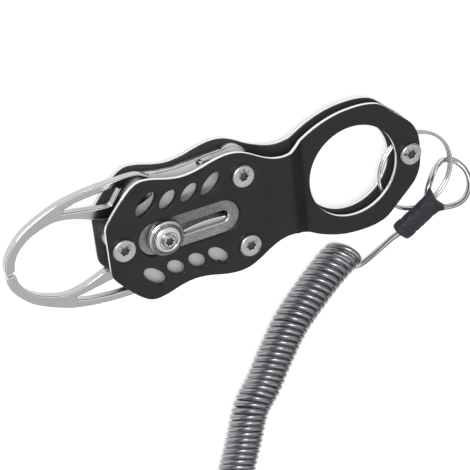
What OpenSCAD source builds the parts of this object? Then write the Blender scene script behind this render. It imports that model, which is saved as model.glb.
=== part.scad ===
// Fish lip grip with a coiled lanyard and a carabiner, lying flat on its back, in millimetres.
// +X runs from the jaw tips to the finger ring, +Z is up through the front plate.
// The origin is under the middle of the grip, on the surface that it lies on.
// Two black plates hold two jaws, which swing on sleeves behind a sliding pin.
// The thumb knob draws the pin back, and the pin's rollers open both jaws through their cam slots.

/* [Plates] */
// Thickness of each plate
plate_t = 1.5; // [1.2:0.1:2]
// Clear gap between the plates at the body
plate_gap = 8.7; // [8.5:0.1:9]
// How far the front plate steps back at the finger ring
front_step = 2; // [1.5:0.1:2.2]
// How far the back plate steps forward at the finger ring
back_step = 3.5; // [3:0.1:3.5]
// Diameter of the finger hole
finger_hole_d = 27.4; // [24:0.2:28]
// Depth of the thumb pocket in each plate
pocket_depth = 0.7; // [0.4:0.1:0.9]
// Width of the thumb pocket
pocket_w = 10.1; // [9.4:0.1:11]

/* [Jaws] */
// Thickness of the jaw prongs
prong_t = 2.4; // [2.2:0.1:2.6]
// Angle that each jaw opens
open_angle = 20; // [14:1:22]
// Distance of each jaw pivot from the centre line
pivot_y = 10.7; // [10.5:0.1:11]

/* [Slide] */
// Travel of the thumb knob
travel = 17; // [14:0.5:17]
// Diameter of the thumb knob
knob_d = 10.2; // [9:0.1:10.4]
// Diameter of the pin's rollers, which run in the jaws' cam slots
roller_d = 5.6; // [5:0.1:5.6]

/* [Fasteners] */
// Diameter of the plate screws' heads
head_d = 6.6; // [6:0.1:7]
// Height of the heads on the front plate
head_h = 1.1; // [0.8:0.1:1.4]
// Height of the heads on the back plate, which the grip rests on
back_head_h = 1; // [0.8:0.1:1.2]

/* [Lanyard] */
// Diameter of the coated cable
cable_d = 1.8; // [1.6:0.1:1.8]
// Outer diameter of the coil
coil_d = 11; // [10:0.1:11]
// Mean radius of the split ring
ring_r = 11.5; // [11.3:0.1:11.6]
// Diameter of the carabiner's bar
bar_d = 6; // [5:0.5:6]

/* [Hidden] */

$fn = 48;
slack = 0.05;            // running clearance on a radius
skin = 0.01;             // overshoot of a cut through a face

// Levels, from the surface that the grip lies on
z_back = back_head_h;
z_back_in = z_back + plate_t;
z_front_in = z_back_in + plate_gap;
z_front = z_front_in + plate_t;
z_jaw = z_back_in + 3.65;
z_ring = z_front - front_step;
z_ring_back = z_back + back_step;

// Places along the centre line
mouth_x = -34.7;
end_x = 60.9;
front_step_x = [20.5, 24.5];
back_step_x = [15, 23.5];
hole_x = 39.7;
pivot_x = 5.4;
front_x = -30.5;
last_x = 57.5;
pin_x = -18.6;
pocket_x = [-26.1, 3.7];
body_screws = [[front_x, 0], [pivot_x, pivot_y], [pivot_x, -pivot_y]];

// Screws, sleeves and the sliding pin
screw_r = 1.5;
sleeve_r = 2.75;
collar_r = 3.1;
end_spacer_r = 2.3;
shank_l = 2.9;
washer_t = 0.3;
pin_r = 1.7;
slot_front = pin_x - pin_r - 2 * slack;
slot_rear = pin_x + travel + pin_r + 0.4;
knob_screw_r = 1;

// Jaw tails lie one above the other, from tail_in to tail_out off the prongs' middle, and each
// reaches to the washer at its own plate
tail_in = 0.95;
tail_out = z_jaw - z_back_in - washer_t - slack;
lower_tail_out = z_front_in - z_jaw - washer_t - slack;
cam_wall = 2;
leg_tip = [-3.5, 14.3];

// Spring of one wire, coiled round both pivot sleeves
wire_r = 0.35;
spring_r = 3.6;
spring_turns = 4.25;
spring_pitch = 0.72;
leg_z = -tail_in + slack + wire_r;

// Half of the plates' outline, from the mouth to the ring's end
half_outline = [
  [mouth_x, 5.5], [-34.5, 7.2], [-33.6, 8.9], [-30.4, 12.8], [-26.9, 16.3], [-23.8, 17.9],
  [-20.1, 17.6], [-15.6, 16.3], [-11.5, 15.7], [-7.1, 16.2], [-2.6, 17.4], [1.5, 18],
  [5, 17.6], [8.2, 16.2], [11.5, 14.2], [15, 12.6], [18.5, 12.1], [21.6, 12.8], [24.5, 14.3],
  [27.6, 16], [30.7, 17.3], [33.9, 18.3], [37, 18.9], [40.4, 19.15], [43.6, 19.1],
  [46.7, 18.6], [49.6, 17.4], [53.4, 14], [57, 10.8], [59, 8.6], [60.4, 5.6], [end_x, 2.5]
];

// Slanted oval windows: centre and half length, on each side of the centre line
ovals = [[-22.75, 11, 3.95], [-16.45, 10.4, 3.1], [-10.2, 10.4, 3.1], [-3.85, 11, 3.85]];
oval_half_w = 1.9;

// Upper jaw, closed: outer and inner edges of the prong, its window, and the tail behind it
prong_outer = [
  [-61.6, 0.5], [-61.5, 2.4], [-61, 4.3], [-60, 6.1], [-58.8, 7.7], [-57.3, 9.3], [-55.6, 10.8],
  [-53.7, 12], [-51.4, 13.2], [-48.5, 14.5], [-45, 15.8], [-41.4, 16.6], [-37.6, 17.2],
  [-32.6, 17.6], [-28, 17.7], [-24.5, 17.8], [-21.5, 17.4], [-18.5, 15.6]
];
prong_inner = [
  [-18.5, 10], [-24.5, 7.6], [-31, 7.2], [-34.4, 7.8], [-36.6, 8.6], [-39.4, 9.7], [-42.2, 10.5],
  [-44.4, 10.9], [-46.4, 11], [-48.2, 10.7], [-50.2, 10.1], [-53.5, 8.7], [-56, 6.8],
  [-57.4, 5.2], [-58.5, 2.9], [-58.9, 0.5]
];
prong_window = [
  [-43.6, 12.8], [-43.2, 13.8], [-40, 14.7], [-37, 15.1], [-33.4, 15.4], [-28.6, 15.6],
  [-27.3, 14.9], [-30.3, 10.9], [-31.4, 10.7], [-36.8, 11.7], [-40, 12.3]
];
tail_web = [
  [-30.4, 8.2], [-27.3, 11.6], [-23.6, 15.6], [-20, 16.2], [-15.5, 15.2], [-11, 14.7],
  [-6, 15.1], [-1, 15.8], [3.5, 16], [10.8, 10.7], [7.4, -0.5], [-18, -1], [-23.4, 1],
  [-24.2, 5.5]
];
pivot_boss_r = 5.6;

// Lanyard: the cable's route, with its height above the surface
ring_centre = [60.5, -7.7, 7.72];
ring_tilt = -3.2;
ring_wire = 1;
near_flare = [64.3, -14.8, 13.9];
near_collar = [53.8, -25.2, 9.1];
near_loop_route = [
  [60.7, -14.5, 13], [61.2, -11.4, 13.3], [63.2, -9.3, 11.9], [66.8, -8.6, 8.4], [70.4, -8.8, 5.7],
  [73, -9.3, 5.1], [75.1, -10.4, 5.6], [76.6, -12.1, 7.2], [77, -14.2, 9], [76.5, -16.4, 10.4],
  [74.9, -18.3, 11.6], [72.5, -19.4, 12.6], [69.7, -19.5, 13.2], [66.7, -19, 13.5],
  [63.7, -17.7, 13.1]
];
near_tail_route = [
  [55.3, -23.7, 9.9], [53.8, -25.2, 9.1], [51.5, -26.8, 8.1], [48.5, -30, 6.3], [45.7, -33.2, 4.5],
  [43.4, -35.3, 3], [40.9, -35.9, 1.9], [38.8, -34.6, 1.2], [37.9, -32.2, 0.95], [37.4, -29.8, 0.95]
];
coil_route = [
  [37.2, -28.3], [33.2, -31], [26.9, -36.5], [18.7, -45], [12.6, -54.3], [8, -62.2],
  [3.2, -69.4], [0, -78.8], [-3.7, -89], [-8, -98.4], [-9.7, -101.6]
];
far_tail_route = [
  [-7, -102.9, 8.6], [-4.8, -104.4, 6], [-2.9, -107, 3.9], [-1.2, -110.6, 2.9],
  [0.6, -115.4, 2.9], [2.4, -121.8, 3.5]
];
far_collar = [2.2, -120.9, 3.4];
far_flare = [5.6, -136.6, 4.2];
far_loop_route = [
  [4.4, -135.2, 5.6], [2.6, -139.5, 7.5], [0.6, -142.9, 8.9], [-1.6, -146.4, 8.4],
  [-2.8, -149.8, 6.5], [-2.4, -153.2, 4.2], [0, -156.4, 2.1], [3.4, -158.4, 1], [7.2, -158.8, 1],
  [10.6, -157, 1.1], [12.2, -153.2, 1.6], [11.8, -148.6, 2.2], [10.2, -144, 3],
  [8.2, -139.8, 3.7], [6.6, -135.6, 4.1]
];

// Carabiner in its own frame: +X along the spine, from the wide end to the narrow end
carabiner_at = [-59.5, -114.3];
carabiner_turn = -47.4;
carabiner_tilt = 1.55;
bar_r = bar_d / 2;
spine_w = 8;
wide_r = 14;
wide_c = [bar_r + wide_r, bar_r + wide_r];
narrow_r = 10.5;
narrow_c = [68.5, bar_r + narrow_r];
wide_end_a = 96;
nose_a = 82;
arm_l = 16;
nose_tip = wide_c + wide_r * [cos(wide_end_a), sin(wide_end_a)];
narrow_tip = narrow_c + narrow_r * [cos(nose_a), sin(nose_a)];
gate_hinge = narrow_tip + arm_l * [-sin(nose_a), cos(nose_a)];
gate_a = atan2(nose_tip[1] - gate_hinge[1], nose_tip[0] - gate_hinge[0]);
gate_l = norm(nose_tip - gate_hinge);
gate_r = 2.2;
gate_pin_r = 1;
fork_half = 1.2;

// ---- Curves ----

// Catmull-Rom curve through points, with n steps between neighbours
function spline(p, n) = [
  for (i = [0 : len(p) - 2])
    let (a = p[max(i - 1, 0)], b = p[i], c = p[i + 1], d = p[min(i + 2, len(p) - 1)])
      for (k = [0 : n - 1])
        let (t = k / n)
          0.5 * (2 * b + (c - a) * t + (2 * a - 5 * b + 4 * c - d) * t * t
            + (3 * b - a - 3 * c + d) * t * t * t),
  p[len(p) - 1]
];

function unit(v) = v / norm(v);
function flip(p) = [for (i = [len(p) - 1 : -1 : 0]) [p[i][0], -p[i][1]]];
function heading(p, i) = unit(p[min(i + 1, len(p) - 1)] - p[max(i - 1, 0)]);

// Side vectors that turn as little as possible from one ring of a tube to the next
function side_start(t) = unit(cross(t, abs(t[2]) < 0.9 ? [0, 0, 1] : [1, 0, 0]));
function sides_along(p) = [
  for (i = 0, s = side_start(heading(p, 0)); i < len(p);
       i = i + 1, s = i < len(p) ? unit(s - (s * heading(p, i)) * heading(p, i)) : s)
    s
];

// Round tube along a route of points
module tube(p, r, n = 8) {
  side = sides_along(p);
  rings = [
    for (i = [0 : len(p) - 1])
      let (t = heading(p, i), u = side[i], v = cross(t, u))
        for (k = [0 : n - 1]) p[i] + r * (cos(360 * k / n) * u + sin(360 * k / n) * v)
  ];
  last = (len(p) - 1) * n;
  walls = [
    for (i = [0 : len(p) - 2])
      for (k = [0 : n - 1])
        [(i + 1) * n + k, (i + 1) * n + (k + 1) % n, i * n + (k + 1) % n, i * n + k]
  ];
  start = [[for (k = [0 : n - 1]) k]];
  end = [[for (k = [n - 1 : -1 : 0]) last + k]];
  polyhedron(points = rings, faces = concat(walls, start, end));
}

// Flat band of half width w along a plane route, with round ends
function end_cap(c, t, w) =
  let (a = atan2(t[1], t[0])) [for (k = [75 : -15 : -75]) c + w * [cos(a + k), sin(a + k)]];
module band(p, w) {
  last = len(p) - 1;
  left = [for (i = [0 : last]) let (t = heading(p, i)) p[i] + w * [-t[1], t[0]]];
  right = [for (i = [last : -1 : 0]) let (t = heading(p, i)) p[i] - w * [-t[1], t[0]]];
  polygon(concat(
    left, end_cap(p[last], heading(p, last), w), right, end_cap(p[0], -heading(p, 0), w)
  ));
}

module ring(r_out, r_in, z0, z1) {
  translate([0, 0, z0])
    difference() {
      cylinder(r = r_out, h = z1 - z0);
      translate([0, 0, -skin]) cylinder(r = r_in, h = z1 - z0 + 2 * skin);
    }
}

// Turns a piece over about the jaws' centre line
module turned_over() {
  translate([0, 0, z_jaw]) rotate([180, 0, 0]) translate([0, 0, -z_jaw]) children();
}

// ---- Plates ----

module outline() {
  edge = spline(half_outline, 3);
  polygon(concat([for (i = [0 : len(edge) - 1]) edge[i]], flip(edge)));
}

module obround(x0, x1, half_w) {
  for (x = [x0 + half_w, x1 - half_w])
    translate([x, 0]) circle(half_w);
  translate([x0 + half_w, -half_w]) square([x1 - x0 - 2 * half_w, 2 * half_w]);
}

module oval_window(half_l) {
  polygon([for (a = [0 : 12 : 348]) [half_l * cos(a), oval_half_w * sin(a)]]);
}

// Side view of a plate, whose outer face steps at the places in x
module plate_section(z_in, z_out, step, x) {
  lean = plate_t * tan(atan2(abs(step), x[1] - x[0]) / 2);
  polygon([
    [mouth_x - 1, z_in], [x[0] - lean, z_in], [x[1] - lean, z_in + step],
    [end_x + 1, z_in + step], [end_x + 1, z_out + step], [x[1], z_out + step],
    [x[0], z_out], [mouth_x - 1, z_out]
  ]);
}

module plate(z_in, z_out, step, x, hole_r) {
  difference() {
    intersection() {
      rotate([90, 0, 0]) linear_extrude(50, center = true) plate_section(z_in, z_out, step, x);
      linear_extrude(z_front + 1) outline();
    }
    for (p = concat(body_screws, [[last_x, 0]]))
      translate([p[0], p[1], 0]) cylinder(r = screw_r + 0.1, h = z_front + 1);
    translate([hole_x, 0, 0]) cylinder(r = hole_r, h = z_front + 1, $fn = 96);
    linear_extrude(z_front + 1) obround(slot_front, slot_rear, pin_r + slack);
    translate([0, 0, z_out > z_in ? z_out - pocket_depth : z_out + pocket_depth - 2])
      linear_extrude(2) obround(pocket_x[0], pocket_x[1], pocket_w / 2);
    for (o = ovals, side = [-1, 1])
      translate([o[0], side * o[1], 0])
        rotate(45 * side) linear_extrude(z_front + 1) oval_window(o[2]);
  }
}

module front_plate() {
  color([0.15, 0.15, 0.17])
    plate(z_front_in, z_front, -front_step, front_step_x, finger_hole_d / 2);
}

module back_plate() {
  color([0.15, 0.15, 0.17])
    plate(z_back_in, z_back, back_step, back_step_x, finger_hole_d / 2 - 0.2);
}

// ---- Jaws ----

// Where the pin's centre is in the upper jaw's own frame, s along its travel
function cam_point(s) =
  let (a = open_angle * s / travel, dx = pin_x + s - pivot_x)
    [pivot_x + dx * cos(a) + pivot_y * sin(a), pivot_y + dx * sin(a) - pivot_y * cos(a)];
cam_route = [for (k = [0 : 16]) cam_point(travel * k / 16)];

module prong_shape() {
  difference() {
    polygon(concat(spline(prong_outer, 3), spline(prong_inner, 2)));
    polygon(prong_window);
  }
}

module tail_shape() {
  difference() {
    union() {
      band(cam_route, roller_d / 2 + slack + cam_wall);
      polygon(tail_web);
      translate([pivot_x, pivot_y]) circle(pivot_boss_r);
    }
    band(cam_route, roller_d / 2 + slack);
    translate(leg_tip) circle(wire_r + 0.15);
  }
}

// The upper jaw's tail lies behind its prong, and the lower jaw's in front of its own
module jaw(reach) {
  difference() {
    union() {
      translate([0, 0, z_jaw - prong_t / 2]) linear_extrude(prong_t) prong_shape();
      translate([0, 0, z_jaw - reach]) linear_extrude(reach - tail_in) tail_shape();
    }
    translate([pivot_x, pivot_y, 0]) cylinder(r = sleeve_r + slack, h = z_front);
  }
}

module upper_jaw() {
  color([0.72, 0.72, 0.74]) jaw(tail_out);
}

module lower_jaw() {
  color([0.72, 0.72, 0.74]) turned_over() jaw(lower_tail_out);
}

// ---- Spacers, sleeves, washers, screws and the jaw spring ----

module front_spacer() {
  color([0.75, 0.75, 0.77])
    translate([front_x, 0, 0]) ring(sleeve_r, screw_r + slack, z_back_in, z_front_in);
}

module end_spacer() {
  color([0.75, 0.75, 0.77])
    translate([last_x, 0, 0])
      ring(end_spacer_r, screw_r + slack, z_back_in + back_step, z_front_in - front_step);
}

// A sleeve with a collar, from z0 to z1, that keeps the jaw beside its washer
module pivot_sleeve(y, z0, z1) {
  translate([pivot_x, y, 0])
    difference() {
      union() {
        translate([0, 0, z_back_in]) cylinder(r = sleeve_r, h = plate_gap);
        translate([0, 0, z0]) cylinder(r = collar_r, h = z1 - z0);
      }
      cylinder(r = screw_r + slack, h = z_front);
    }
}

module upper_pivot_sleeve() {
  color([0.75, 0.75, 0.77]) pivot_sleeve(pivot_y, z_jaw - tail_in + 2 * slack, z_front_in);
}

module lower_pivot_sleeve() {
  color([0.75, 0.75, 0.77]) pivot_sleeve(-pivot_y, z_back_in, z_jaw + tail_in - 2 * slack);
}

module pivot_washers() {
  color([0.85, 0.8, 0.65]) {
    translate([pivot_x, pivot_y, 0])
      ring(4.6, sleeve_r + slack, z_back_in, z_back_in + washer_t);
    translate([pivot_x, -pivot_y, 0])
      ring(4.6, sleeve_r + slack, z_front_in - washer_t, z_front_in);
  }
}

// Six-lobed socket
module socket(r) {
  circle(r * 0.8, $fn = 24);
  for (a = [0 : 60 : 300])
    rotate(a) translate([r * 0.8, 0]) circle(r * 0.26, $fn = 16);
}

// Button-headed screw, with the underside of its head at z = 0
module plate_screw(h) {
  difference() {
    rotate_extrude()
      polygon(concat(
        [[0, -shank_l], [screw_r, -shank_l], [screw_r, 0], [head_d / 2, 0]],
        [for (a = [0 : 15 : 75]) [head_d / 2 - 0.5 + 0.5 * cos(a), h - 0.5 + 0.5 * sin(a)]],
        [[0, h]]
      ));
    translate([0, 0, h - 0.6]) linear_extrude(1) socket(1.25);
  }
}

module front_screws() {
  color([0.8, 0.8, 0.8]) {
    for (p = body_screws)
      translate([p[0], p[1], z_front]) plate_screw(head_h);
    translate([last_x, 0, z_ring]) plate_screw(head_h);
  }
}

module back_screws() {
  color([0.8, 0.8, 0.8]) {
    for (p = body_screws)
      translate([p[0], p[1], z_back]) rotate([180, 0, 0]) plate_screw(back_head_h);
    translate([last_x, 0, z_ring_back]) rotate([180, 0, 0]) plate_screw(back_head_h);
  }
}

// One wire: a leg hooked in the upper jaw, a coil, a bridge, the other coil and the other leg
half_spring = concat(
  [[leg_tip[0], leg_tip[1], leg_z - 1.1], [leg_tip[0], leg_tip[1], leg_z - 0.3],
   [leg_tip[0] + 0.3, leg_tip[1], leg_z], [1, leg_tip[1], leg_z]],
  [for (k = [0 : 16 * spring_turns])
    let (a = 90 - 360 * k / 16)
      [pivot_x + spring_r * cos(a), pivot_y + spring_r * sin(a), leg_z + spring_pitch * k / 16]]
);

module jaw_spring() {
  far_half = [for (i = [len(half_spring) - 1 : -1 : 0])
    [half_spring[i][0], -half_spring[i][1], -half_spring[i][2]]];
  color([0.6, 0.6, 0.62])
    translate([0, 0, z_jaw]) tube(concat(half_spring, far_half), wire_r, 8);
}

// ---- Thumb slide ----

module slide_pin() {
  color([0.7, 0.7, 0.72])
    translate([pin_x, 0, 0])
      difference() {
        union() {
          translate([0, 0, 0.45]) cylinder(r = pin_r, h = z_front + 0.65);
          translate([0, 0, z_jaw - tail_in]) cylinder(r = 2.6, h = 2 * tail_in);
        }
        translate([0, 0, 9]) cylinder(r = knob_screw_r + slack, h = 10);
      }
}

module cam_rollers() {
  color([0.85, 0.85, 0.87])
    translate([pin_x, 0, 0]) {
      ring(roller_d / 2, pin_r + slack, z_jaw - tail_out, z_jaw - tail_in - slack);
      ring(roller_d / 2, pin_r + slack, z_jaw + tail_in + slack, z_jaw + lower_tail_out);
    }
}

module slide_washer() {
  color([0.8, 0.8, 0.78])
    translate([pin_x, 0, 0])
      ring(4.6, pin_r + slack, z_front - pocket_depth + slack, z_front);
}

// Stepped, domed knob with a counterbore for the pin and a seat for its screw
module thumb_knob() {
  color([0.82, 0.82, 0.84])
    translate([pin_x, 0, z_front + 0.1])
      rotate_extrude($fn = 64)
        polygon([
          [pin_r + slack, 0], [knob_d / 2 - 0.3, 0], [knob_d / 2, 0.3], [knob_d / 2, 1.1],
          [knob_d / 2 - 0.3, 1.4], [4.45, 1.5], [4.4, 1.9], [4.1, 2.4], [3.5, 2.8], [3, 2.9],
          [2.4, 2.9], [2.4, 2.3], [knob_screw_r + 0.15, 2.3], [knob_screw_r + 0.15, 1.25],
          [pin_r + slack, 1.25]
        ]);
}

module knob_screw() {
  color([0.7, 0.7, 0.7])
    translate([pin_x, 0, z_front + 2.4])
      difference() {
        union() {
          cylinder(r = 1.95, h = 0.7);
          translate([0, 0, 0.7]) cylinder(r = 1.7, h = 0.2);
          translate([0, 0, -4.4]) cylinder(r = knob_screw_r, h = 4.4);
        }
        translate([0, 0, 0.25]) linear_extrude(1) socket(1.15);
      }
}

module back_button() {
  color([0.75, 0.75, 0.77])
    translate([pin_x, 0, 0])
      ring(4.3, pin_r + slack, 0.25, z_back + pocket_depth - slack);
}

// ---- Lanyard ----

module split_ring() {
  color([0.8, 0.8, 0.82])
    translate(ring_centre) rotate([ring_tilt, 0, 0])
      rotate_extrude($fn = 96) {
        for (side = [-1, 1])
          translate([ring_r, side * ring_wire / 2]) circle(ring_wire / 2, $fn = 16);
        translate([ring_r - ring_wire / 2, -ring_wire / 2]) square(ring_wire);
      }
}

// Heat-shrunk crimp sleeve: flattened, with two corners at the loop's end
module crimp_sleeve(collar, flare, spread) {
  along = unit(flare - collar);
  across = unit([along[1], -along[0], 0]);
  hull()
    for (side = [-1, 1], s = [0.8, 9.5])
      translate(collar + s * along + side * (1.5 - 0.04 * s) * across) sphere(2 - 0.03 * s, $fn = 20);
  hull()
    for (side = [-1, 1]) {
      translate(collar + 9.5 * along + side * 1.1 * across) sphere(1.7, $fn = 20);
      translate(flare - 1.2 * along + side * spread * across) sphere(1.3, $fn = 20);
    }
}

module near_loop() {
  color([0.8, 0.8, 0.82]) tube(spline(near_loop_route, 2), cable_d / 2);
}

module near_sleeve() {
  color([0.1, 0.1, 0.11]) crimp_sleeve(near_collar, near_flare, 3.4);
}

module near_tail() {
  color([0.8, 0.8, 0.82]) tube(near_tail_route, cable_d / 2);
}

module lanyard_coil() {
  color([0.45, 0.45, 0.46])
    tube([for (p = coil_route) [p[0], p[1], coil_d / 2]], coil_d / 2, 16);
}

module far_tail() {
  color([0.8, 0.8, 0.82]) tube(far_tail_route, cable_d / 2);
}

module far_sleeve() {
  color([0.1, 0.1, 0.11]) crimp_sleeve(far_collar, far_flare, 2.6);
}

module far_loop() {
  color([0.8, 0.8, 0.82]) tube(far_loop_route, cable_d / 2);
}

// ---- Carabiner ----

// Places the carabiner on the surface, its narrow end raised on the cable
module on_surface() {
  translate([carabiner_at[0], carabiner_at[1], bar_r])
    rotate([0, 0, carabiner_turn]) translate([bar_r, 0, 0]) rotate([0, -carabiner_tilt, 0])
      translate([-bar_r, 0, 0])
        children();
}

// Bar swept along flat stations of [x, y, half width, half height]
module bar(p, n = 16) {
  turns = [for (i = [0 : len(p) - 1])
    let (a = p[max(i - 1, 0)], b = p[min(i + 1, len(p) - 1)]) unit([b[0] - a[0], b[1] - a[1]])];
  rings = [
    for (i = [0 : len(p) - 1])
      for (k = [0 : n - 1])
        let (c = cos(360 * k / n), s = sin(360 * k / n))
          [p[i][0] - p[i][2] * c * turns[i][1], p[i][1] + p[i][2] * c * turns[i][0], p[i][3] * s]
  ];
  last = (len(p) - 1) * n;
  walls = [
    for (i = [0 : len(p) - 2])
      for (k = [0 : n - 1])
        [(i + 1) * n + k, (i + 1) * n + (k + 1) % n, i * n + (k + 1) % n, i * n + k]
  ];
  start = [[for (k = [0 : n - 1]) k]];
  end = [[for (k = [n - 1 : -1 : 0]) last + k]];
  polyhedron(points = rings, faces = concat(walls, start, end));
}

function arc_stations(c, r, a0, a1, n) = [
  for (k = [0 : n])
    let (a = a0 + (a1 - a0) * k / n) [c[0] + r * cos(a), c[1] + r * sin(a), bar_r, bar_r]
];
carabiner_stations = concat(
  arc_stations(wide_c, wide_r, wide_end_a, 266, 11),
  [for (x = [24, 60]) [x, bar_r + 0.6, spine_w / 2, 0.75 * bar_r]],
  arc_stations(narrow_c, narrow_r, -84, nose_a, 10),
  [[gate_hinge[0] - 2.4 * sin(nose_a), gate_hinge[1] + 2.4 * cos(nose_a), bar_r, bar_r]]
);

module at_gate_hinge() {
  translate([gate_hinge[0], gate_hinge[1], 0]) rotate([0, 0, gate_a]) children();
}

module carabiner_body() {
  color([0.8, 0.1, 0.15])
    on_surface()
      difference() {
        bar(carabiner_stations);
        at_gate_hinge() {
          translate([-4, -12, -fork_half - slack]) cube([14, 24, 2 * fork_half + 2 * slack]);
          translate([0, 0, -bar_d]) cylinder(r = gate_pin_r, h = 2 * bar_d);
          translate([gate_l - 3, -1.6, -fork_half - slack]) cube([5.2, 9.6, 2 * fork_half + 2 * slack]);
        }
      }
}

// Round gate with a flat tongue at the hinge and a flat tip at the nose
module carabiner_gate() {
  color([0.85, 0.85, 0.87])
    on_surface() at_gate_hinge()
      difference() {
        union() {
          translate([3.6, 0, 0]) rotate([0, 90, 0]) cylinder(r = gate_r, h = gate_l - 4.6, $fn = 32);
          translate([0, -1.6, -fork_half]) cube([6, 3.2, 2 * fork_half]);
          translate([0, 0, -fork_half]) cylinder(r = 1.9, h = 2 * fork_half);
          translate([gate_l - 3, -1.4, -fork_half]) cube([4.6, 2.8, 2 * fork_half]);
        }
        translate([0, 0, -bar_d]) cylinder(r = gate_pin_r + slack, h = 2 * bar_d);
        translate([6, 0, 0]) rotate([0, 90, 0]) cylinder(r = 0.9, h = 12, $fn = 24);
      }
}

module gate_pivot() {
  color([0.8, 0.8, 0.8])
    on_surface() at_gate_hinge()
      translate([0, 0, -bar_r + 0.2]) cylinder(r = gate_pin_r, h = bar_d - 0.4);
}

module gate_plunger() {
  color([0.7, 0.7, 0.7])
    on_surface() at_gate_hinge()
      translate([6.4, 0, 0]) rotate([0, 90, 0]) cylinder(r = 0.8, h = 2.4, $fn = 24);
}

module gate_spring() {
  color([0.6, 0.6, 0.6])
    on_surface() at_gate_hinge()
      tube([for (k = [0 : 60]) [9 + 8.6 * k / 60, 0.6 * cos(48 * k), 0.6 * sin(48 * k)]], 0.14, 6);
}

front_plate();
back_plate();
upper_jaw();
lower_jaw();
front_spacer();
upper_pivot_sleeve();
lower_pivot_sleeve();
end_spacer();
pivot_washers();
front_screws();
back_screws();
jaw_spring();
slide_pin();
cam_rollers();
slide_washer();
thumb_knob();
knob_screw();
back_button();
split_ring();
near_loop();
near_sleeve();
near_tail();
lanyard_coil();
far_tail();
far_sleeve();
far_loop();
carabiner_body();
carabiner_gate();
gate_pivot();
gate_plunger();
gate_spring();
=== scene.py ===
"""Looks of a fish lip grip with a coiled cable lanyard and a carabiner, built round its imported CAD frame.

Shapes are given in mm and made in metres. What fk, the lights and the camera are given is in metres.
"""
import math

import bmesh
import bpy
import numpy as np
from mathutils import Matrix, Vector, noise


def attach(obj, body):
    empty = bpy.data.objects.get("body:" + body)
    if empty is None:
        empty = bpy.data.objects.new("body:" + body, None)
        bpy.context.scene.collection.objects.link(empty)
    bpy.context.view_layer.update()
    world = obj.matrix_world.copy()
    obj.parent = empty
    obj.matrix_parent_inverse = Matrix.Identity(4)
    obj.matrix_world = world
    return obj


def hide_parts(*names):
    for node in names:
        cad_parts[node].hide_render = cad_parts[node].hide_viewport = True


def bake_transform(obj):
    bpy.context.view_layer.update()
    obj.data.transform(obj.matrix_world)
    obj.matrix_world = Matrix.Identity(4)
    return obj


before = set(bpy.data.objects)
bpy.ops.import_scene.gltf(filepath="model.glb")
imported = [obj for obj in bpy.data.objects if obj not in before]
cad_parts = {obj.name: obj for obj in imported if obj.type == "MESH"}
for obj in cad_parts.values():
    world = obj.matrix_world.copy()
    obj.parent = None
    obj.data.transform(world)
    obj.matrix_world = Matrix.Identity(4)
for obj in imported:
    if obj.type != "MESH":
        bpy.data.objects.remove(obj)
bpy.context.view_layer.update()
MM = 0.001
scene = bpy.context.scene


def mm(*p):
    return Vector(p) * MM


# ---- Camera ----

camera_data = bpy.data.cameras.new("camera")
camera_data.lens = 142.3
camera_data.sensor_width = 36
camera_data.clip_start = 0.01
camera_data.clip_end = 20
camera = bpy.data.objects.new("camera", camera_data)
scene.collection.objects.link(camera)
camera.matrix_world = Matrix((
    (0.8963855, 0.2947049, -0.3311223, -0.164736),
    (-0.0973782, 0.8596602, 0.5014996, 0.245277),
    (0.4324471, -0.4172929, 0.7992848, 0.413722),
    (0, 0, 0, 1),
))
scene.camera = camera

# ---- Mesh helpers ----


def new_object(name, verts, faces, uvs=None):
    mesh = bpy.data.meshes.new(name)
    mesh.from_pydata([tuple(v) for v in verts], [], faces)
    if uvs is not None:
        layer = mesh.uv_layers.new(name="UVMap")
        for loop in mesh.loops:
            layer.data[loop.index].uv = uvs[loop.vertex_index]
    mesh.update()
    obj = bpy.data.objects.new(name, mesh)
    scene.collection.objects.link(obj)
    return obj


def smooth(obj, angle):
    obj.data.polygons.foreach_set("use_smooth", [True] * len(obj.data.polygons))
    obj.data.set_sharp_from_angle(angle=math.radians(angle))
    return obj


def spline(points, n):
    """Catmull-Rom curve through points, with n steps between neighbours."""
    p = [np.array(q, float) for q in points]
    out = []
    for i in range(len(p) - 1):
        a, b, c, d = p[max(i - 1, 0)], p[i], p[i + 1], p[min(i + 2, len(p) - 1)]
        for k in range(n):
            t = k / n
            out.append(0.5 * (2 * b + (c - a) * t + (2 * a - 5 * b + 4 * c - d) * t ** 2
                              + (3 * b - a - 3 * c + d) * t ** 3))
    out.append(p[-1])
    return out


def even(points, step):
    """The same line with its points a step apart."""
    p = np.array(points, float)
    s = np.concatenate([[0], np.cumsum(np.linalg.norm(np.diff(p, axis=0), axis=1))])
    at = np.linspace(0, s[-1], max(2, int(round(s[-1] / step)) + 1))
    return np.stack([np.interp(at, s, p[:, i]) for i in range(3)], axis=1)


def tangents(p):
    t = np.gradient(p, axis=0)
    return t / np.linalg.norm(t, axis=1)[:, None]


def sides_of(p):
    """Side vectors that turn as little as possible along a line."""
    t = tangents(p)
    start = np.cross(t[0], (0, 0, 1) if abs(t[0][2]) < 0.9 else (1, 0, 0))
    u = start / np.linalg.norm(start)
    out = []
    for d in t:
        u = u - d * (u @ d)
        u = u / np.linalg.norm(u)
        out.append((u.copy(), np.cross(d, u)))
    return out


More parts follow.
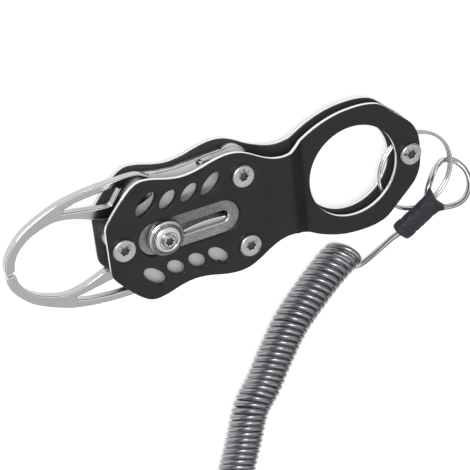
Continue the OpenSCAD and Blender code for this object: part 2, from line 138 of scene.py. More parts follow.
def tube(name, points, radius, sides):
    """Round tube along points in mm. Its UVs are metres along and turns around."""
    p = np.array(points, float)
    s = np.concatenate([[0], np.cumsum(np.linalg.norm(np.diff(p, axis=0), axis=1))])
    verts, faces, uvs = [], [], []
    for i, (u, v) in enumerate(sides_of(p)):
        for k in range(sides + 1):
            a = 2 * math.pi * k / sides
            verts.append((p[i] + radius * (math.cos(a) * u + math.sin(a) * v)) * MM)
            uvs.append((s[i] * MM, k / sides))
    row = sides + 1
    for i in range(len(p) - 1):
        for k in range(sides):
            a = i * row + k
            faces.append((a, a + 1, a + 1 + row, a + row))
    faces.append(tuple(range(sides - 1, -1, -1)))
    faces.append(tuple((len(p) - 1) * row + k for k in range(sides)))
    obj = new_object(name, verts, faces, uvs)
    weld(obj)
    return smooth(obj, 50)


def weld(obj):
    bm = bmesh.new()
    bm.from_mesh(obj.data)
    bmesh.ops.remove_doubles(bm, verts=bm.verts, dist=1e-7)
    bm.to_mesh(obj.data)
    bm.free()


def face_outwards(obj):
    bm = bmesh.new()
    bm.from_mesh(obj.data)
    bmesh.ops.recalc_face_normals(bm, faces=bm.faces)
    bm.to_mesh(obj.data)
    bm.free()
    return obj


def prism(name, outline, z0, z1):
    n = len(outline)
    verts = [mm(x, y, z) for z in (z0, z1) for x, y in outline]
    faces = [tuple(range(n - 1, -1, -1)), tuple(range(n, 2 * n))]
    faces += [(k, (k + 1) % n, n + (k + 1) % n, n + k) for k in range(n)]
    return new_object(name, verts, faces)


def cut(obj, cutters):
    """Cuts the cutters out of obj and removes them."""
    for c in cutters:
        mod = obj.modifiers.new("cut", "BOOLEAN")
        mod.operation = "DIFFERENCE"
        mod.solver = "EXACT"
        mod.object = c
    depsgraph = bpy.context.evaluated_depsgraph_get()
    made = bpy.data.meshes.new_from_object(obj.evaluated_get(depsgraph))
    obj.modifiers.clear()
    obj.data = made
    for c in cutters:
        bpy.data.objects.remove(c)
    return obj


def from_cad(node, name, cuts=(), merge=0.02):
    """A new piece with the CAD node's own shape and its flat faces made whole.

    Each x of cuts keeps a seam across the flat faces, through a hole, so that no face has a hole in it.
    Points closer than merge become one. Both are in mm.
    """
    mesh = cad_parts[node].data.copy()
    mesh.name = name
    mesh.materials.clear()
    obj = bpy.data.objects.new(name, mesh)
    scene.collection.objects.link(obj)
    bm = bmesh.new()
    bm.from_mesh(mesh)
    bmesh.ops.remove_doubles(bm, verts=bm.verts, dist=merge * MM)
    for x in cuts:
        made = bmesh.ops.bisect_plane(bm, geom=bm.verts[:] + bm.edges[:] + bm.faces[:], dist=1e-6,
                                      plane_co=(x * MM, 0, 0), plane_no=(1, 0, 0))
        for edge in made["geom_cut"]:
            if isinstance(edge, bmesh.types.BMEdge):
                edge.seam = abs(edge.verts[0].co.z - edge.verts[1].co.z) < 1e-6
    bmesh.ops.dissolve_limit(
        bm, angle_limit=math.radians(0.05), verts=bm.verts, edges=bm.edges, delimit={"SEAM"})
    bm.to_mesh(mesh)
    bm.free()
    return obj


def bevel(obj, width, segments, angle, material=-1):
    """Rounds the edges sharper than an angle in degrees. width is in mm."""
    mod = obj.modifiers.new("edge", "BEVEL")
    mod.width = width * MM
    mod.segments = segments
    mod.limit_method = "ANGLE"
    mod.angle_limit = math.radians(angle)
    mod.use_clamp_overlap = False
    mod.harden_normals = True
    mod.material = material
    return smooth(obj, angle)


def paint(obj, *materials):
    obj.data.materials.clear()
    for m in materials:
        obj.data.materials.append(m)
    return obj


def finish_piece(obj, body, node):
    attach(obj, body)
    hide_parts(node)
    return obj


# ---- Materials ----


def shader(name, base, metallic=0.0, rough=0.4, coat=0.0, coat_rough=0.1, specular=0.5):
    m = bpy.data.materials.new(name)
    m.use_nodes = True
    p = m.node_tree.nodes["Principled BSDF"]
    p.inputs["Base Color"].default_value = (*base, 1)
    p.inputs["Metallic"].default_value = metallic
    p.inputs["Roughness"].default_value = rough
    p.inputs["Coat Weight"].default_value = coat
    p.inputs["Coat Roughness"].default_value = coat_rough
    p.inputs["Specular IOR Level"].default_value = specular
    return m


def add(m, kind):
    return m.node_tree.nodes.new(kind)


def link(m, a, out, b, into):
    m.node_tree.links.new(a.outputs[out], b.inputs[into])


def coordinates(m, scale):
    at = add(m, "ShaderNodeTexCoord")
    mapping = add(m, "ShaderNodeMapping")
    mapping.inputs["Scale"].default_value = scale
    link(m, at, "Object", mapping, "Vector")
    return mapping


def noise_on(m, size, detail=3.0, stretch=(1, 1, 1)):
    """Noise with features of that size in mm."""
    tex = add(m, "ShaderNodeTexNoise")
    tex.inputs["Scale"].default_value = 1 / (size * MM)
    tex.inputs["Detail"].default_value = detail
    link(m, coordinates(m, stretch), "Vector", tex, "Vector")
    return tex


def vary_colour(m, tex, dark, light, low=0.3, high=0.7, output="Fac"):
    ramp = add(m, "ShaderNodeValToRGB")
    ramp.color_ramp.elements[0].position = low
    ramp.color_ramp.elements[0].color = (*dark, 1)
    ramp.color_ramp.elements[1].position = high
    ramp.color_ramp.elements[1].color = (*light, 1)
    link(m, tex, output, ramp, "Fac")
    link(m, ramp, "Color", m.node_tree.nodes["Principled BSDF"], "Base Color")


def vary_rough(m, tex, low, high):
    ranged = add(m, "ShaderNodeMapRange")
    ranged.inputs["From Min"].default_value = 0.3
    ranged.inputs["From Max"].default_value = 0.7
    ranged.inputs["To Min"].default_value = low
    ranged.inputs["To Max"].default_value = high
    link(m, tex, "Fac", ranged, "Value")
    link(m, ranged, "Result", m.node_tree.nodes["Principled BSDF"], "Roughness")


def bump_with(m, tex, height, strength, output="Fac"):
    """Adds a bump of that height in mm after any bump there is."""
    principled = m.node_tree.nodes["Principled BSDF"]
    node = add(m, "ShaderNodeBump")
    node.inputs["Strength"].default_value = strength
    node.inputs["Distance"].default_value = height * MM
    link(m, tex, output, node, "Height")
    before = principled.inputs["Normal"].links
    if before:
        m.node_tree.links.new(before[0].from_socket, node.inputs["Normal"])
    link(m, node, "Normal", principled, "Normal")


def brushed(name, light, rough, along, grain, height, dark, coat=0.0):
    """Metal with fine lines.

    along squeezes the noise on each axis. grain and height are the lines' size and depth in mm, and dark is
    the darker lines' share of the light colour.
    """
    m = shader(name, light, 1.0, rough, coat)
    lines = noise_on(m, grain, 4.0, along)
    broad = noise_on(m, 6.0, 2.0)
    vary_colour(m, lines, tuple(c * dark for c in light), light)
    vary_rough(m, broad, rough * 0.85, rough * 1.2)
    bump_with(m, lines, height, 0.6)
    return m


BLACK = shader("black_anodised", (0.022, 0.022, 0.0245), 0.35, 0.38, specular=0.42)
vary_colour(BLACK, noise_on(BLACK, 9.0, 4.0), (0.0145, 0.0143, 0.0168), (0.021, 0.0208, 0.0238))
vary_rough(BLACK, noise_on(BLACK, 3.0, 5.0), 0.34, 0.46)
bump_with(BLACK, noise_on(BLACK, 0.09, 2.0), 0.004, 0.5)

# A lighter copy of the black for the back plate: painted light on its band between the plates, which lies in the
# front plate's shade.
BACK_PAINTED_LIGHTER = shader("black_anodised_back_painted_lighter", (0.045, 0.044, 0.043), 0.2, 0.45)
vary_colour(BACK_PAINTED_LIGHTER, noise_on(BACK_PAINTED_LIGHTER, 9.0, 4.0), (0.04, 0.0385, 0.0375), (0.052, 0.05, 0.049))
bump_with(BACK_PAINTED_LIGHTER, noise_on(BACK_PAINTED_LIGHTER, 0.09, 2.0), 0.004, 0.5)
EDGE = brushed("bare_edge", (0.84, 0.84, 0.85), 0.34, (1, 1, 0.25), 0.16, 0.006, 0.82)
CHAMFER = brushed("cut_chamfer", (0.8, 0.8, 0.82), 0.16, (1, 1, 1), 0.3, 0.002, 0.93)
POCKET = shader("milled_pocket", (0.25, 0.25, 0.26), 1.0, 0.42)
vary_colour(POCKET, noise_on(POCKET, 0.35, 6.0), (0.19, 0.188, 0.2), (0.42, 0.42, 0.435), 0.35, 0.75)
vary_rough(POCKET, noise_on(POCKET, 1.2, 4.0), 0.36, 0.56)
bump_with(POCKET, noise_on(POCKET, 0.16, 3.0), 0.012, 0.7)
JAW = brushed("jaw_steel", (0.5, 0.5, 0.515), 0.23, (0.2, 1, 1), 0.09, 0.003, 0.9)
JAW_EDGE = brushed("jaw_polished_edge", (0.72, 0.72, 0.74), 0.1, (0.2, 1, 1), 0.2, 0.001, 0.95)
# The two tails are one satin steel with painted light: the upper tail, deep under the plates and in their shade,
# is painted lighter and duller, the lower one darker.
TAIL_PAINTED_LIGHT = {}
for node, metallic, light in (("upper_jaw", 0.2, 0.92), ("lower_jaw", 0.8, 0.56)):
    TAIL_PAINTED_LIGHT[node] = brushed(node + "_satin_painted_light", (light, light, light * 1.03), 0.55, (1, 1, 1), 0.08, 0.006, 0.9)
    TAIL_PAINTED_LIGHT[node].node_tree.nodes["Principled BSDF"].inputs["Metallic"].default_value = metallic
TURNED = brushed("turned_steel", (0.6, 0.6, 0.62), 0.3, (1, 1, 4), 0.12, 0.004, 0.85)
KNOB = brushed("knob_steel", (0.68, 0.68, 0.7), 0.13, (1, 1, 3), 0.3, 0.002, 0.93)
SCREW = brushed("screw_steel", (0.58, 0.58, 0.58), 0.3, (1, 1, 1), 0.11, 0.006, 0.8)
SOCKET = shader("socket_shadow", (0.1, 0.1, 0.1), 1.0, 0.45)
vary_colour(SOCKET, noise_on(SOCKET, 0.3), (0.05, 0.05, 0.05), (0.16, 0.155, 0.15))
WIRE = shader("spring_wire", (0.6, 0.6, 0.62), 1.0, 0.24)
vary_rough(WIRE, noise_on(WIRE, 2.0), 0.2, 0.3)
WASHER = shader("acetal_washer", (0.62, 0.6, 0.54), 0.0, 0.4)
vary_colour(WASHER, noise_on(WASHER, 1.0), (0.55, 0.53, 0.47), (0.66, 0.64, 0.58))
bump_with(WASHER, noise_on(WASHER, 0.2), 0.01, 0.4)
GATE = brushed("gate_aluminium", (0.86, 0.86, 0.87), 0.24, (0.15, 1, 1), 0.1, 0.004, 0.88)
RED = brushed("red_anodised", (0.62, 0.03, 0.06), 0.24, (1, 1, 1), 0.12, 0.003, 0.85, 0.3)

SHRINK = shader("heat_shrink", (0.03, 0.028, 0.036), 0.0, 0.55, 0.0, 0.3, 0.3)
vary_colour(SHRINK, noise_on(SHRINK, 1.6, 5.0), (0.024, 0.0225, 0.03), (0.04, 0.0375, 0.048))
vary_rough(SHRINK, noise_on(SHRINK, 1.0, 4.0), 0.45, 0.65)
bump_with(SHRINK, noise_on(SHRINK, 0.8, 4.0), 0.07, 0.5)
bump_with(SHRINK, noise_on(SHRINK, 0.12, 2.0), 0.012, 0.4)

STRANDS, STRAND_STEP = 6, 12


def cable_material(name, dark, light, rough):
    """Twisted strands under a clear coat, STRAND_STEP apart along the cable, laid out by the tube's UVs."""
    m = shader(name, light, 0.75, rough, 1.0, 0.06)
    at = add(m, "ShaderNodeTexCoord")
    dot = add(m, "ShaderNodeVectorMath")
    dot.operation = "DOT_PRODUCT"
    dot.inputs[1].default_value = (2 * math.pi / (STRAND_STEP * MM), 2 * math.pi * STRANDS, 0)
    link(m, at, "UV", dot, 0)
    wave = add(m, "ShaderNodeMath")
    wave.operation = "SINE"
    link(m, dot, "Value", wave, 0)
    ramp = add(m, "ShaderNodeMapRange")
    ramp.inputs["From Min"].default_value = -1
    link(m, wave, "Value", ramp, "Value")
    vary_colour(m, ramp, dark, light, 0.05, 0.75, "Result")
    bump_with(m, ramp, 0.02, 0.3, "Result")
    return m


CABLE = cable_material("coated_cable", (0.22, 0.22, 0.24), (0.62, 0.62, 0.64), 0.2)
# The coil's copy of the cable is painted darker: painted shade between its packed turns.
COIL_PAINTED_SHADE = cable_material("coil_cable", (0.13, 0.13, 0.145), (0.3, 0.3, 0.32), 0.32)

# ---- Cords: one cable, looped and crimped at both ends ----

CABLE_R, CABLE_SIDES = 0.9, 12
COIL_R, COIL_Z, COIL_PITCH, COIL_LEAN = 4.6, 5.5, 1.85, 0.65
COIL_STEP = 15
NEAR_COLLAR, NEAR_FLARE = (53.8, -25.2, 9.1), (64.3, -14.8, 13.9)
FAR_COLLAR, FAR_FLARE = (2.2, -120.9, 3.4), (5.6, -136.6, 4.2)
NEAR_LOOP = [
    (60.7, -14.5, 13), (61.2, -11.4, 13.3), (63.2, -9.3, 11.9), (66.8, -8.6, 8.4), (70.4, -8.8, 5.7),
    (73, -9.3, 5.1), (75.1, -10.4, 5.6), (76.6, -12.1, 7.2), (77, -14.2, 9), (76.5, -16.4, 10.4),
    (74.9, -18.3, 11.6), (72.5, -19.4, 12.6), (69.7, -19.5, 13.2), (66.7, -19, 13.5),
    (63.9, -18.3, 13.1),
]
NEAR_TAIL = [
    (55.3, -23.7, 9.9), (53.8, -25.2, 9.1), (51.5, -26.8, 8.1), (48.5, -30, 6.3), (45.7, -33.2, 4.5),
    (43.4, -35.3, 3), (40.9, -35.9, 1.9), (38.5, -35.3, 1.2), (36.7, -33.4, 0.95),
]
COIL_ROUTE = [
    (37.2, -28.3), (33.2, -31), (26.9, -36.5), (18.7, -45), (12.6, -54.3), (8, -62.2),
    (3.2, -69.4), (0, -78.8), (-3.7, -89), (-8, -98.4), (-9.7, -101.6),
]
FAR_TAIL = [
    (-4.8, -104.4, 6), (-2.9, -107, 3.9), (-1.2, -110.6, 2.9),
    (0.6, -115.4, 2.9), (2.4, -121.8, 3.5),
]
FAR_LOOP = [
    (4.4, -135.2, 5.6), (2.6, -139.5, 7.5), (0.6, -142.9, 8.9), (-1.6, -146.4, 8.4),
    (-2.8, -149.8, 6.5), (-2.4, -153.2, 4.2), (0, -156.4, 2.1), (3.4, -158.4, 1), (7.2, -158.8, 1),
    (10.6, -157, 1.1), (12.2, -153.2, 1.6), (11.8, -148.6, 2.2), (10.2, -144, 3),
    (8.2, -139.8, 3.7), (6.6, -135.6, 4.1),
]


def helix(route, start, end):
    """The coil's turns round its route, with a point every COIL_STEP degrees and the tops leaning to its start.

    start and end are the angles in degrees at which the cable joins and leaves the coil.
    """
    line = even([(x, y, COIL_Z) for x, y in spline(route, 8)], 0.2)
    s = np.concatenate([[0], np.cumsum(np.linalg.norm(np.diff(line, axis=0), axis=1))])
    t = tangents(line)
    turns = math.floor(s[-1] / COIL_PITCH) + ((start - end) % 360) / 360
    count = int(turns * 360 / COIL_STEP)
    out = []
    for k in range(count + 1):
        share = k / count
        c = np.array([np.interp(share * s[-1], s, line[:, i]) for i in range(3)])
        d = np.array([np.interp(share * s[-1], s, t[:, i]) for i in range(3)])
        n = np.array((-d[1], d[0], 0)) / math.hypot(d[0], d[1])
        a = math.radians(start - share * turns * 360)
        out.append(c + COIL_R * (math.cos(a) * n + math.sin(a) * (np.array((0, 0, 1)) - COIL_LEAN * d)))
    return out


coil_points = helix(COIL_ROUTE, -90, 45)
near_axis = np.array(NEAR_FLARE) - np.array(NEAR_COLLAR)
far_axis = np.array(FAR_FLARE) - np.array(FAR_COLLAR)


def in_sleeve(collar, axis, *places):
    """Points at shares of the sleeve's length, each that far in mm to one side of its middle."""
    across = np.array((axis[1], -axis[0], 0)) / math.hypot(axis[0], axis[1])
    return [tuple(np.array(collar) + axis * share + across * side) for share, side in places]


near_start = in_sleeve(NEAR_COLLAR, near_axis, (0.25, -1), (0.45, -1), (0.65, -1))
near_back = in_sleeve(NEAR_COLLAR, near_axis, (0.65, 1), (0.45, 0.95), (0.25, 0.6))
far_in = in_sleeve(FAR_COLLAR, far_axis, (0.3, -0.7), (0.5, -1), (0.7, -1.1))
far_end = in_sleeve(FAR_COLLAR, far_axis, (0.7, 1.1), (0.5, 1.1), (0.35, 1.1))
head = spline(near_start + NEAR_LOOP + near_back + NEAR_TAIL[1:] + [tuple(coil_points[0])], 6)
foot = spline([tuple(coil_points[-1])] + FAR_TAIL + far_in + FAR_LOOP + far_end, 6)
head, foot = even(head, 0.5), even(foot, 0.5)
route = np.array(list(head[:-1]) + coil_points + list(foot[1:]))

cable = tube("lanyard_cable", route, CABLE_R, CABLE_SIDES)
paint(cable, CABLE, COIL_PAINTED_SHADE)
# The coiled part gets the painted shade, which starts and stops a few stations inside the coil's ends.
first, last = len(head) + 3, len(head) + len(coil_points) - 6
for poly in cable.data.polygons:
    station = poly.vertices[0] // CABLE_SIDES
    poly.material_index = 1 if first <= station < last else 0

# ---- Sleeves over the crimps ----


def sleeve(name, collar, flare, half_w, spread, skew, seed):
    """Flattened shrink tube: an open round collar, a creased body and two corners at the loop's end.

    half_w and spread are the body's and the corners' half widths in mm. skew slants the corners.
    """
    a, b = np.array(collar, float), np.array(flare, float)
    length = float(np.linalg.norm(b - a))
    along = (b - a) / length
    across = np.array((along[1], -along[0], 0)) / math.hypot(along[0], along[1])
    up = np.cross(across, along)
    up = up * math.copysign(1, up[2])
    knots = [0, 0.03, 0.1, 0.19, 0.22, 0.26, 0.5, 0.66, 0.8, 0.92, 0.98, 1]
    wide = [half_w * w for w in (0.86, 0.96, 1, 0.99, 0.93, 0.98, 0.97, 0.98, 1.1)]
    wide += [spread * w for w in (0.93, 1, 0.97)]
    thick = [1.95, 2.1, 2.12, 2.08, 1.86, 2.02, 1.95, 1.86, 1.6, 1.35, 1.2, 0.95]
    n, rows = 40, 56
    verts = []
    for i in range(rows + 1):
        q = i / rows
        w, h = np.interp(q, knots, wide), np.interp(q, knots, thick)
        for k in range(n):
            t = 2 * math.pi * k / n
            c, s = math.cos(t), math.sin(t)
            x = w * math.copysign(abs(c) ** 0.78, c)
            z = h * math.copysign(abs(s) ** 0.78, s)
            dent = 0.16 * max(0, q - 0.55) * length * (1 - (x / w) ** 2)
            reach = q * length - (dent if q > 0.9 else 0) - skew * x * max(0, (q - 0.6) / 0.4) ** 1.5
            place = a + along * reach + across * x + up * z
            fold = noise.noise(Vector(place * 0.55) + Vector((seed, 0, 0))) * 0.16
            fold += noise.noise(Vector(place * 1.3) + Vector((0, seed, 0))) * 0.06
            crease = -0.14 * math.exp(-((q - 0.62 - 0.05 * c) / 0.03) ** 2) * max(0, s)
            outward = across * c * 0.8 + up * s
            verts.append((place + outward * (fold + crease)) * MM)
    faces = []
    for i in range(rows):
        for k in range(n):
            p, q = i * n + k, i * n + (k + 1) % n
            faces.append((p, p + n, q + n, q))
    base = len(verts)
    for depth, r in ((0.15, 0.8), (2.5, 0.72)):
        for k in range(n):
            t = 2 * math.pi * k / n
            c, s = math.cos(t), math.sin(t)
            verts.append((a + along * depth + across * c * r * half_w * 0.86 + up * s * r * 1.9) * MM)
    for k in range(n):
        j = (k + 1) % n
        faces.append((k, j, base + j, base + k))
        faces.append((base + k, base + j, base + n + j, base + n + k))
    faces.append(tuple(base + n + k for k in range(n)))
    top = rows * n
    centre = len(verts)
    verts.append(Vector(b - along * 1.1) * MM)
    for k in range(n):
        faces.append((top + k, centre, top + (k + 1) % n))
    obj = face_outwards(new_object(name, verts, faces))
    mod = obj.modifiers.new("soft", "SUBSURF")
    mod.levels = mod.render_levels = 1
    paint(obj, SHRINK)
    return smooth(obj, 60)


near_sleeve = sleeve("near_heat_shrink", NEAR_COLLAR, NEAR_FLARE, 3.35, 5.3, 0.21, 3.0)
finish_piece(near_sleeve, "grip", "near_sleeve")
far_sleeve = sleeve("far_heat_shrink", FAR_COLLAR, FAR_FLARE, 3.3, 4.1, 0, 9.0)
finish_piece(far_sleeve, "grip", "far_sleeve")

# ---- Carabiner ----

BAR_R = 3.0
TURN, TILT = math.radians(-47.4), math.radians(-1.55)
ON_SURFACE = (
    Matrix.Translation(mm(-59.5, -114.3, BAR_R)) @ Matrix.Rotation(TURN, 4, "Z")
    @ Matrix.Translation(mm(BAR_R, 0, 0)) @ Matrix.Rotation(TILT, 4, "Y")
    @ Matrix.Translation(mm(-BAR_R, 0, 0))
)
WIDE_C, WIDE_R, WIDE_A = (17.0, 17.0), 14.0, (96, 266)
NARROW_C, NARROW_R, NARROW_A = (68.5, 13.5), 10.5, (-84, 82)
ARM_L, HINGE_AT, TIP_ROUND = 18, 16, 0.4
SLOT_GAP_HALF = 1.25


def on_arc(c, r, a):
    return (c[0] + r * math.cos(math.radians(a)), c[1] + r * math.sin(math.radians(a)))


NOSE_TIP = on_arc(WIDE_C, WIDE_R, WIDE_A[0])
NARROW_TIP = on_arc(NARROW_C, NARROW_R, NARROW_A[1])
ARM_DIR = (-math.sin(math.radians(NARROW_A[1])), math.cos(math.radians(NARROW_A[1])))


def on_arm(d):
    return (NARROW_TIP[0] + d * ARM_DIR[0], NARROW_TIP[1] + d * ARM_DIR[1])


HINGE = on_arm(HINGE_AT)
GATE_A = math.atan2(NOSE_TIP[1] - HINGE[1], NOSE_TIP[0] - HINGE[0])
GATE_L = math.hypot(NOSE_TIP[0] - HINGE[0], NOSE_TIP[1] - HINGE[1])
AT_HINGE = ON_SURFACE @ Matrix.Translation(mm(*HINGE, 0)) @ Matrix.Rotation(GATE_A, 4, "Z")


def carabiner_line():
    """Stations of x, y, half width and half height: the nose, the flat spine, the narrow bend and the arm."""
    full, tip = (BAR_R, BAR_R), (BAR_R - TIP_ROUND, BAR_R - TIP_ROUND)
    end = [(NOSE_TIP[0] + TIP_ROUND, NOSE_TIP[1] + 0.04, *tip)]
    arc = [(*on_arc(WIDE_C, WIDE_R, WIDE_A[0] + (WIDE_A[1] - WIDE_A[0]) * k / 30), *full) for k in range(31)]
    spine = [(20, 3.3, 3.5, 2.7)] + [(x, 3.6, 4, 2.25) for x in (24, 33, 42, 51, 60)] + [(64.5, 3.3, 3.5, 2.6)]
    bend = [(*on_arc(NARROW_C, NARROW_R, NARROW_A[0] + (NARROW_A[1] - NARROW_A[0]) * k / 26), *full)
            for k in range(27)]
    arm = [(*on_arm(d), *full) for d in (ARM_L / 3, ARM_L * 2 / 3, ARM_L)]
    return end + arc + spine + bend + arm + [(*on_arm(ARM_L + TIP_ROUND), *tip)]


def carabiner_bar():
    """The bar, round apart from its flatter and squarer spine."""
    n, p = 28, carabiner_line()
    verts, faces = [], []
    for i, (x, y, w, h) in enumerate(p):
        a, b = p[max(i - 1, 0)], p[min(i + 1, len(p) - 1)]
        tx, ty = b[0] - a[0], b[1] - a[1]
        size = math.hypot(tx, ty)
        tx, ty = tx / size, ty / size
        flat = 0.72 if h < 2.5 else 1.0
        for k in range(n):
            t = 2 * math.pi * k / n
            c, s = math.cos(t), math.sin(t)
            c2, s2 = math.copysign(abs(c) ** flat, c), math.copysign(abs(s) ** flat, s)
            verts.append(ON_SURFACE @ mm(x - w * c2 * ty, y + w * c2 * tx, h * s2))
    for i in range(len(p) - 1):
        for k in range(n):
            q, r = i * n + k, i * n + (k + 1) % n
            faces.append((q, r, r + n, q + n))
    faces.append(tuple(range(n - 1, -1, -1)))
    faces.append(tuple((len(p) - 1) * n + k for k in range(n)))
    return face_outwards(new_object("carabiner_bar", verts, faces))


def box_at_hinge(x0, y0, x1, y1, half):
    obj = prism("cutter", [(x0, y0), (x1, y0), (x1, y1), (x0, y1)], -half, half)
    obj.data.transform(AT_HINGE)
    return obj


def pin_at_hinge(r, half):
    obj = prism("cutter", [on_arc((0, 0), r, a) for a in range(0, 360, 12)], -half, half)
    obj.data.transform(AT_HINGE)
    return obj


carabiner = cut(carabiner_bar(), [
    box_at_hinge(-4, -12, 10, 12, SLOT_GAP_HALF),
    box_at_hinge(GATE_L - 3, -1.6, GATE_L + 2.2, 8, SLOT_GAP_HALF),
    pin_at_hinge(1.0, 6),
])
paint(carabiner, RED)
bevel(carabiner, 0.12, 2, 40)
finish_piece(carabiner, "grip", "carabiner_body")

gate = bevel(paint(from_cad("carabiner_gate", "gate_bar"), GATE), 0.15, 2, 40)
finish_piece(gate, "gate", "carabiner_gate")

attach(cable, "grip")
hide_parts("near_loop", "near_tail", "lanyard_coil", "far_tail", "far_loop")

# ---- Split ring: one wire wound twice ----

RING_CENTRE, RING_R, RING_WIRE_R = Vector((60.5, -7.7, 7.72)), 11.5, 0.49
RING_TILT, RING_TURN = -3.2, -170


def split_ring():
    """Wire from 24 to 696 degrees, which steps up to its second turn between 336 and 384."""
    tilt = Matrix.Rotation(math.radians(RING_TILT), 3, "X")
    out = []
    for k in range(241):
        a = 24 + (696 - 24) * k / 240
        step = min(1, max(0, (a - 336) / 48))
        z = -0.5 + step * step * (3 - 2 * step)
        out.append(RING_CENTRE + tilt @ Vector((*on_arc((0, 0), RING_R, a + RING_TURN), z)))
    return tube("split_ring_wire", out, RING_WIRE_R, 14)


finish_piece(paint(split_ring(), WIRE), "grip", "split_ring")

# ---- Plates ----

POCKET_X, POCKET_HALF = (-26.2, 3.8), 5.1
SLOT_X, SLOT_HALF = (-24.5, 2.3), 3.0
OVAL_REACH = 4.2
PLATE_CUTS = (-30.5, -22.75, -16.45, -10.2, -3.85, 5.4, 39.7, 57.5)
OVALS = [(x, side * y) for x, y in ((-22.75, 11), (-16.45, 10.4), (-10.2, 10.4), (-3.85, 11)) for side in (-1, 1)]


def plate(node, name, floor_z, face):
    """A plate with bare edges and a milled pocket round its slot. floor_z is the pocket's floor in mm."""
    obj = from_cad(node, name, PLATE_CUTS)
    paint(obj, face, EDGE, POCKET, CHAMFER)
    for poly in obj.data.polygons:
        x, y, z = poly.center / MM
        depth = abs(z - floor_z)
        if abs(poly.normal.z) > 0.5:
            on_floor = depth < 0.05 and POCKET_X[0] < x < POCKET_X[1] and abs(y) < POCKET_HALF
            poly.material_index = 2 if on_floor else 0
        elif any(math.hypot(x - a, y - b) < OVAL_REACH for a, b in OVALS):
            poly.material_index = 0
        elif 0.3 < depth < 0.36 and x < POCKET_X[1] and abs(y) < POCKET_HALF:
            poly.material_index = 2
        else:
            poly.material_index = 1

    def at_slot(vert):
        x, y, z = vert.co / MM
        return abs(z - floor_z) < 0.01 and abs(y) < SLOT_HALF and SLOT_X[0] < x < SLOT_X[1]

    bm = bmesh.new()
    bm.from_mesh(obj.data)
    slot_edges = [e for e in bm.edges if abs(e.calc_face_angle(0)) > 1 and all(at_slot(v) for v in e.verts)]
    bmesh.ops.bevel(bm, geom=slot_edges, offset=0.22 * MM, segments=3, profile=0.5, affect="EDGES", material=3)
    bm.to_mesh(obj.data)
    bm.free()
    return bevel(obj, 0.25, 3, 40, 0)


for node, floor_z, face in (("front_plate", 12.0, BLACK), ("back_plate", 1.7, BACK_PAINTED_LIGHTER)):
    finish_piece(plate(node, node + "_cut", floor_z, face), "grip", node)

# ---- Jaws: bright blades, satin tails with painted light, and polished edges ----

Z_JAW, BLADE_HALF = 6.15, 1.21
JAW_CUTS = (-36, -12, -3.5, 5.4)

for node in ("upper_jaw", "lower_jaw"):
    jaw = from_cad(node, node + "_forged", JAW_CUTS)
    paint(jaw, JAW, TAIL_PAINTED_LIGHT[node], JAW_EDGE)
    for poly in jaw.data.polygons:
        level = abs(poly.center.z / MM - Z_JAW)
        on_tail = abs(poly.normal.z) > 0.9 and abs(level - BLADE_HALF) > 0.15
        poly.material_index = 1 if on_tail else 0
    bevel(jaw, 0.4, 4, 38, 2)
    finish_piece(jaw, node, node)

# ---- Turned parts, screws and springs ----

PIVOT, KNOB_X = (5.4, 10.7), -18.6


def lathe(name, profile, centre):
    n, segments = len(profile), 96
    verts = [mm(centre[0] + r * math.cos(2 * math.pi * k / segments),
                centre[1] + r * math.sin(2 * math.pi * k / segments), centre[2] + z)
             for k in range(segments) for r, z in profile]
    faces = []
    for k in range(segments):
        j = (k + 1) % segments
        for i in range(n):
            m = (i + 1) % n
            faces.append((k * n + i, j * n + i, j * n + m, k * n + m))
    return smooth(new_object(name, verts, faces), 32)


KNOB_PROFILE = [
    (1.76, 0), (4.75, 0), (5.02, 0.1), (5.1, 0.32), (5.1, 0.95), (5.04, 1.16), (4.9, 1.28), (4.7, 1.32),
    (4.6, 1.26), (4.5, 1.16), (4.4, 1.2), (4.38, 1.4), (4.38, 1.72), (4.3, 2.02), (4.12, 2.3), (3.85, 2.54),
    (3.5, 2.72), (3.2, 2.83), (2.8, 2.9), (2.6, 2.88), (2.46, 2.78), (2.4, 2.62), (2.4, 2.3), (1.15, 2.3),
    (1.15, 1.25), (1.76, 1.25),
]
knob = paint(lathe("thumb_knob_turned", KNOB_PROFILE, (KNOB_X, 0, 12.8)), KNOB)
finish_piece(knob, "thumb_slide", "thumb_knob")


def screws(node, name, centres, levels, body, reach=1.32, width=0.07):
    """Screws with bright heads and dark sockets.

    levels are the heads' faces at each centre, reach is the socket's radius with some room, and width is
    the edges' bevel, all in mm.
    """
    obj = paint(from_cad(node, name, merge=0.004), SCREW, SOCKET)
    for poly in obj.data.polygons:
        x, y, z = poly.center / MM
        for (cx, cy), top in zip(centres, levels):
            if math.hypot(x - cx, y - cy) < reach and 0.02 < abs(z - top) < 0.95:
                poly.material_index = 1
    bevel(obj, width, 2, 40)
    return finish_piece(obj, body, node)


SCREWS = [(-30.5, 0), PIVOT, (PIVOT[0], -PIVOT[1]), (57.5, 0)]
screws("front_screws", "front_torx_screws", SCREWS, [13.8, 13.8, 13.8, 11.8], "grip")
screws("back_screws", "back_torx_screws", SCREWS, [0, 0, 0, 3.5], "grip")
screws("knob_screw", "knob_torx_screw", [(KNOB_X, 0)], [16], "thumb_slide", 1.4, 0.08)

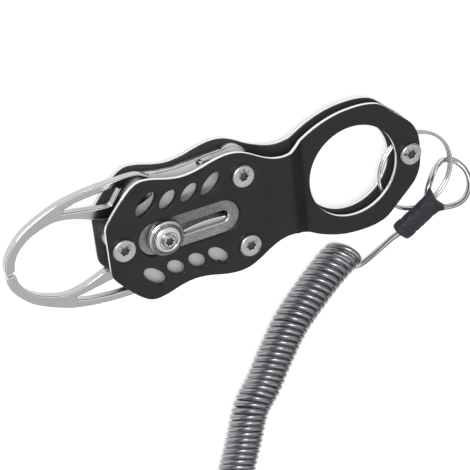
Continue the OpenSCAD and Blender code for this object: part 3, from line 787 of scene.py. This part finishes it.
for node, body, slot, material, width in (
    ("front_spacer", "grip", "turned_steel", TURNED, 0.15),
    ("end_spacer", "grip", "turned_steel", TURNED, 0.12),
    ("upper_pivot_sleeve", "grip", "turned_steel", TURNED, 0.1),
    ("lower_pivot_sleeve", "grip", "turned_steel", TURNED, 0.1),
    ("pivot_washers", "grip", "washer", WASHER, 0.06),
    ("slide_pin", "thumb_slide", "turned_steel", TURNED, 0.1),
    ("cam_rollers", "thumb_slide", "turned_steel", TURNED, 0.15),
    ("slide_washer", "thumb_slide", "washer", TURNED, 0.08),
    ("back_button", "thumb_slide", "knob_steel", KNOB, 0.25),
    ("gate_pivot", "grip", "screw_steel", SCREW, 0.15),
    ("gate_plunger", "gate", "turned_steel", TURNED, 0.08),
):
    piece = bevel(paint(from_cad(node, node + "_finished", merge=0.004), material), width, 2, 40)
    finish_piece(piece, body, node)

SPRING_R, SPRING_WIRE_R = 3.6, 0.35
LEG_Y, LEG_Z = 14.3, -0.55


def half_spring(side):
    """The wire's leg and coil at the upper sleeve, or turned over at the lower one."""
    leg = [(x, LEG_Y, LEG_Z + rise) for x, rise in (
        (-3.5, -1.1), (-3.5, -0.5), (-3.4, -0.15), (-3.1, 0), (-1.5, 0), (0.5, 0), (3, 0), (5.4, 0))]
    coil = [(*on_arc(PIVOT, SPRING_R, 90 - 15 * k), LEG_Z + 0.72 * k / 24) for k in range(103)]
    if side < 0:
        leg, coil = ([(x, -y, -z) for x, y, z in part] for part in (leg, coil))
    return [[(x, y, z + Z_JAW) for x, y, z in part] for part in (leg, coil)]


upper_leg, upper_coil = half_spring(1)
lower_leg, lower_coil = half_spring(-1)
coils = paint(tube("spring_coils", upper_coil + lower_coil[::-1], SPRING_WIRE_R, 10), WIRE)
finish_piece(coils, "grip", "jaw_spring")
for name, leg, body, side in (
    ("spring_upper_leg", upper_leg, "upper_jaw", 1),
    ("spring_lower_leg", lower_leg, "lower_jaw", -1),
):
    piece = paint(tube(name, even(leg, 0.4), SPRING_WIRE_R, 10), WIRE)
    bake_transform(piece)
    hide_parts("jaw_spring")

gate_coil = [AT_HINGE @ mm(9 + 8.6 * k / 240, *on_arc((0, 0), 0.6, 12 * k)) / MM for k in range(241)]
gate_spring = tube("gate_spring_wire", gate_coil, 0.14, 8)
finish_piece(paint(gate_spring, WIRE), "gate", "gate_spring")

# ---- Floor, world and light ----

floor_material = shader("pale_floor", (0.54, 0.54, 0.54), 0.0, 0.9, specular=0.0)
floor_shader = floor_material.node_tree.nodes["Principled BSDF"]
floor_shader.inputs["Emission Color"].default_value = (1, 1, 1, 1)
floor_shader.inputs["Emission Strength"].default_value = 0.66
floor = new_object("floor", [(-4, -4, 0), (4, -4, 0), (4, 4, 0), (-4, 4, 0)], [(0, 1, 2, 3)])
floor.location.z = -0.00005
paint(floor, floor_material)

world = bpy.data.worlds.new("studio")
scene.world = world
world.use_nodes = True
tree = world.node_tree
background = tree.nodes["Background"]
at = tree.nodes.new("ShaderNodeTexCoord")
split = tree.nodes.new("ShaderNodeSeparateXYZ")
ramp = tree.nodes.new("ShaderNodeValToRGB")
tree.links.new(at.outputs["Generated"], split.inputs[0])
tree.links.new(split.outputs["Z"], ramp.inputs["Fac"])
tree.links.new(ramp.outputs["Color"], background.inputs["Color"])
stops = ramp.color_ramp.elements
stops[0].position, stops[0].color = 0.0, (0.1, 0.1, 0.1, 1)
stops[1].position, stops[1].color = 0.95, (1, 1, 1, 1)
for place, value in ((0.3, 0.07), (0.5, 0.16), (0.66, 0.75), (0.8, 0.85)):
    stop = stops.new(place)
    stop.color = (value, value, value, 1)
background.inputs["Strength"].default_value = 1.0

key_data = bpy.data.lights.new("key", "AREA")
key_data.size = 0.5
key_data.energy = 7
key = bpy.data.objects.new("key", key_data)
scene.collection.objects.link(key)
key.location = (-0.4, 0.45, 0.9)
key.rotation_mode = "QUATERNION"
key.rotation_quaternion = (-key.location).to_track_quat("-Z", "Y")

scene.view_settings.view_transform = "Standard"
scene.view_settings.look = "None"
